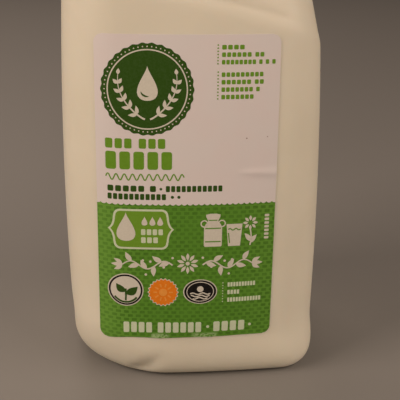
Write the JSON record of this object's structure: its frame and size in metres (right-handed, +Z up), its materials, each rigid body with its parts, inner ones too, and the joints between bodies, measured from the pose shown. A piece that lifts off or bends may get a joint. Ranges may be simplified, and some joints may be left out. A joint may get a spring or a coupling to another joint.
{
  "type": "plastic milk jug",
  "caption": "Square plastic milk jug with a sloping shoulder, an integral corner handle, a screw cap and an adhesive front label.",
  "frame": {"origin": "on the floor, under the middle of the jug's footprint", "axes": "+Z up along the neck, -Y towards the label, the handle over the +X +Y corner"},
  "size_m": [0.1118, 0.1125, 0.255],
  "materials": {
    "milky_plastic": "satin, slightly milky, with a faint moulding ripple",
    "label_film": "printed film, satin, white above and green below",
    "cap_plastic": "satin, moulded, ribbed grip"
  },
  "bodies": {
    "root": {"jug": "milky_plastic", "label": "label_film", "cap": "cap_plastic"}
  },
  "joints": []
}
